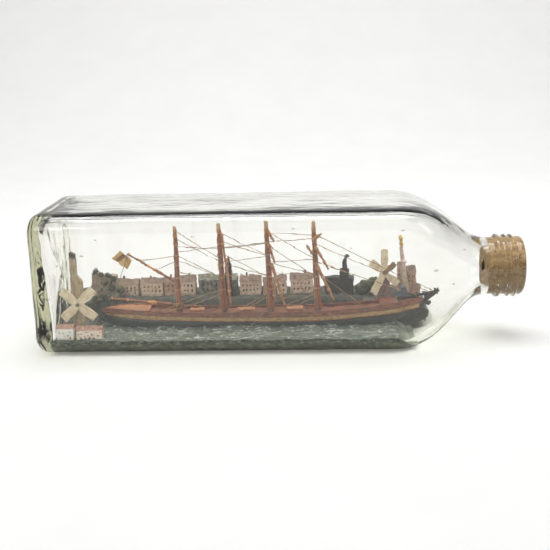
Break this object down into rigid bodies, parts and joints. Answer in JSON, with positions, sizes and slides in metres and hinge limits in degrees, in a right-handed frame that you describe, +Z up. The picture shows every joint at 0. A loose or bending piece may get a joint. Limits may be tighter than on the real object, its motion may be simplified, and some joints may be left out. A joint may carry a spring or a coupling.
{
  "type": "ship in a bottle",
  "caption": "Four-masted sailing ship with folding masts on a putty sea before a painted harbour town with two windmills, inside a corked square glass bottle lying on its side.",
  "frame": {"origin": "middle of the bottle's resting face, on the surface it lies on", "axes": "+X along the bottle to its neck, the front is -Y, +Z up"},
  "size_m": [0.2502, 0.072, 0.072],
  "materials": {
    "glass": "clear old bottle glass, faintly grey-green",
    "cork": "matt cork",
    "hull_paint": "dark green-black paint, matt",
    "band_wood": "varnished orange-brown wood",
    "deck_wood": "red-brown stained wood",
    "spar_wood": "red-brown stained wood",
    "yard_wood": "bare brown wood",
    "pale_wood": "bare pale wood",
    "thread": "waxed cotton thread",
    "wire": "dull wire",
    "paper": "aged yellow paper",
    "sea_putty": "grey-green painted putty",
    "shore_putty": "dark painted putty",
    "wall_paint": "pink-brown flat paint",
    "roof_paint": "dark flat paint",
    "white_paint": "off-white flat paint",
    "dark_paint": "dark grey-green flat paint",
    "foliage": "dark green painted putty"
  },
  "bodies": {
    "root": {"bottle": "glass", "hull": "hull_paint", "topside_planking": "band_wood", "deck": "deck_wood", "poop": "deck_wood", "forecastle": "deck_wood", "deckhouses": "yard_wood", "bowsprit": "dark_paint", "beakhead": "dark_paint", "mast_pins": "wire", "spanker_boom": "spar_wood", "forestays": "thread", "braces_mizzen": "thread", "braces_main": "thread", "braces_fore": "thread", "windmill_left_tower": "pale_wood", "windmill_pins": "wire", "windmill_right_tower": "wall_paint", "lighthouse_tower": "white_paint", "lighthouse_lantern": "pale_wood", "town_houses": "wall_paint", "town_roofs": "roof_paint", "town_tower": "dark_paint", "chapel": "dark_paint", "trees": "foliage", "keep": "wall_paint", "quay_houses": "wall_paint", "quay_roofs": "roof_paint", "cottages": "white_paint", "cottage_roofs": "roof_paint", "tall_post": "pale_wood", "shore": "shore_putty", "sea": "sea_putty"},
    "cork": {"cork": "cork"},
    "sails_left": {"windmill_left_sails": "pale_wood"},
    "sails_right": {"windmill_right_sails": "pale_wood"},
    "jigger": {"mast_jigger": "spar_wood", "shrouds_jigger": "thread"},
    "mizzen": {"mast_mizzen": "spar_wood", "yards_mizzen": "yard_wood", "shrouds_mizzen": "thread"},
    "main": {"mast_main": "spar_wood", "yards_main": "yard_wood", "shrouds_main": "thread"},
    "fore": {"mast_fore": "spar_wood", "yards_fore": "yard_wood", "shrouds_fore": "thread"},
    "gaff": {"spanker_gaff": "spar_wood", "flag": "paper", "flag_halyard": "wire", "gaff_halyard": "thread"},
    "link_jigger_mizzen_top": {"stays_jigger_mizzen_top": "thread"},
    "link_jigger_mizzen_upper": {"stays_jigger_mizzen_upper": "thread"},
    "link_jigger_mizzen_lower": {"stays_jigger_mizzen_lower": "thread"},
    "link_mizzen_main_top": {"stays_mizzen_main_top": "thread"},
    "link_mizzen_main_upper": {"stays_mizzen_main_upper": "thread"},
    "link_mizzen_main_lower": {"stays_mizzen_main_lower": "thread"},
    "link_main_fore_top": {"stays_main_fore_top": "thread"},
    "link_main_fore_upper": {"stays_main_fore_upper": "thread"},
    "link_main_fore_lower": {"stays_main_fore_lower": "thread"}
  },
  "joints": [
    {"name": "cork_pull", "type": "slide", "parent": "root", "child": "cork", "axis": [1, 0, 0], "range_m": [0, 0.03]},
    {"name": "windmill_left_turn", "type": "hinge", "parent": "root", "child": "sails_left", "pos_m": [-0.10395, -0.02115, 0.0236], "axis": [0, -1, 0], "continuous": true},
    {"name": "windmill_right_turn", "type": "hinge", "parent": "root", "child": "sails_right", "pos_m": [0.05415, 0.0031, 0.0322], "axis": [0, -1, 0], "continuous": true},
    {"name": "mast_main_fold", "type": "hinge", "parent": "root", "child": "main", "pos_m": [-0.00565, -0.006, 0.017], "axis": [0, -1, 0], "range_deg": [0, 70], "deforming": ["braces_main"]},
    {"name": "mast_jigger_fold", "type": "hinge", "parent": "root", "child": "jigger", "pos_m": [-0.05385, -0.006, 0.017], "axis": [0, -1, 0], "range_deg": [0, 70]},
    {"name": "mast_mizzen_fold", "type": "hinge", "parent": "root", "child": "mizzen", "pos_m": [-0.03055, -0.006, 0.017], "axis": [0, -1, 0], "range_deg": [0, 70], "deforming": ["braces_mizzen"]},
    {"name": "mast_fore_fold", "type": "hinge", "parent": "root", "child": "fore", "pos_m": [0.01905, -0.006, 0.017], "axis": [0, -1, 0], "range_deg": [0, 70], "deforming": ["braces_fore", "forestays"]},
    {"name": "gaff_swing", "type": "hinge", "parent": "jigger", "child": "gaff", "pos_m": [-0.0567, -0.006, 0.0319], "axis": [0, -1, 0], "range_deg": [-59, 0], "deforming": ["gaff_halyard"]},
    {"name": "stays_jigger_mizzen_top_level", "type": "hinge", "parent": "jigger", "child": "link_jigger_mizzen_top", "pos_m": [-0.05481, -0.006, 0.049], "axis": [0, -1, 0], "range_deg": [-71, 0], "deforming": ["stays_jigger_mizzen_top"]},
    {"name": "stays_jigger_mizzen_upper_level", "type": "hinge", "parent": "jigger", "child": "link_jigger_mizzen_upper", "pos_m": [-0.05461, -0.006, 0.0424], "axis": [0, -1, 0], "range_deg": [-71, 0], "deforming": ["stays_jigger_mizzen_upper"]},
    {"name": "stays_jigger_mizzen_lower_level", "type": "hinge", "parent": "jigger", "child": "link_jigger_mizzen_lower", "pos_m": [-0.05434, -0.006, 0.0334], "axis": [0, -1, 0], "range_deg": [-71, 0], "deforming": ["stays_jigger_mizzen_lower"]},
    {"name": "stays_mizzen_main_top_level", "type": "hinge", "parent": "mizzen", "child": "link_mizzen_main_top", "pos_m": [-0.03184, -0.006, 0.0514], "axis": [0, -1, 0], "range_deg": [-71, 0], "deforming": ["stays_mizzen_main_top"]},
    {"name": "stays_mizzen_main_upper_level", "type": "hinge", "parent": "mizzen", "child": "link_mizzen_main_upper", "pos_m": [-0.03159, -0.006, 0.0448], "axis": [0, -1, 0], "range_deg": [-71, 0], "deforming": ["stays_mizzen_main_upper"]},
    {"name": "stays_mizzen_main_lower_level", "type": "hinge", "parent": "mizzen", "child": "link_mizzen_main_lower", "pos_m": [-0.03117, -0.006, 0.0334], "axis": [0, -1, 0], "range_deg": [-71, 0], "deforming": ["stays_mizzen_main_lower"]},
    {"name": "stays_main_fore_top_level", "type": "hinge", "parent": "main", "child": "link_main_fore_top", "pos_m": [-0.00714, -0.006, 0.0538], "axis": [0, -1, 0], "range_deg": [-71, 0], "deforming": ["stays_main_fore_top"]},
    {"name": "stays_main_fore_upper_level", "type": "hinge", "parent": "main", "child": "link_main_fore_upper", "pos_m": [-0.00668, -0.006, 0.0424], "axis": [0, -1, 0], "range_deg": [-71, 0], "deforming": ["stays_main_fore_upper"]},
    {"name": "stays_main_fore_lower_level", "type": "hinge", "parent": "main", "child": "link_main_fore_lower", "pos_m": [-0.00633, -0.006, 0.0338], "axis": [0, -1, 0], "range_deg": [-71, 0], "deforming": ["stays_main_fore_lower"]}
  ],
  "couplings": [
    {"joint": "mast_jigger_fold", "follows": "mast_main_fold", "ratio": 1},
    {"joint": "mast_mizzen_fold", "follows": "mast_main_fold", "ratio": 1},
    {"joint": "mast_fore_fold", "follows": "mast_main_fold", "ratio": 1},
    {"joint": "gaff_swing", "follows": "mast_main_fold", "ratio": -0.83},
    {"joint": "stays_jigger_mizzen_top_level", "follows": "mast_main_fold", "ratio": -1},
    {"joint": "stays_jigger_mizzen_upper_level", "follows": "mast_main_fold", "ratio": -1},
    {"joint": "stays_jigger_mizzen_lower_level", "follows": "mast_main_fold", "ratio": -1},
    {"joint": "stays_mizzen_main_top_level", "follows": "mast_main_fold", "ratio": -1},
    {"joint": "stays_mizzen_main_upper_level", "follows": "mast_main_fold", "ratio": -1},
    {"joint": "stays_mizzen_main_lower_level", "follows": "mast_main_fold", "ratio": -1},
    {"joint": "stays_main_fore_top_level", "follows": "mast_main_fold", "ratio": -1},
    {"joint": "stays_main_fore_upper_level", "follows": "mast_main_fold", "ratio": -1},
    {"joint": "stays_main_fore_lower_level", "follows": "mast_main_fold", "ratio": -1}
  ]
}
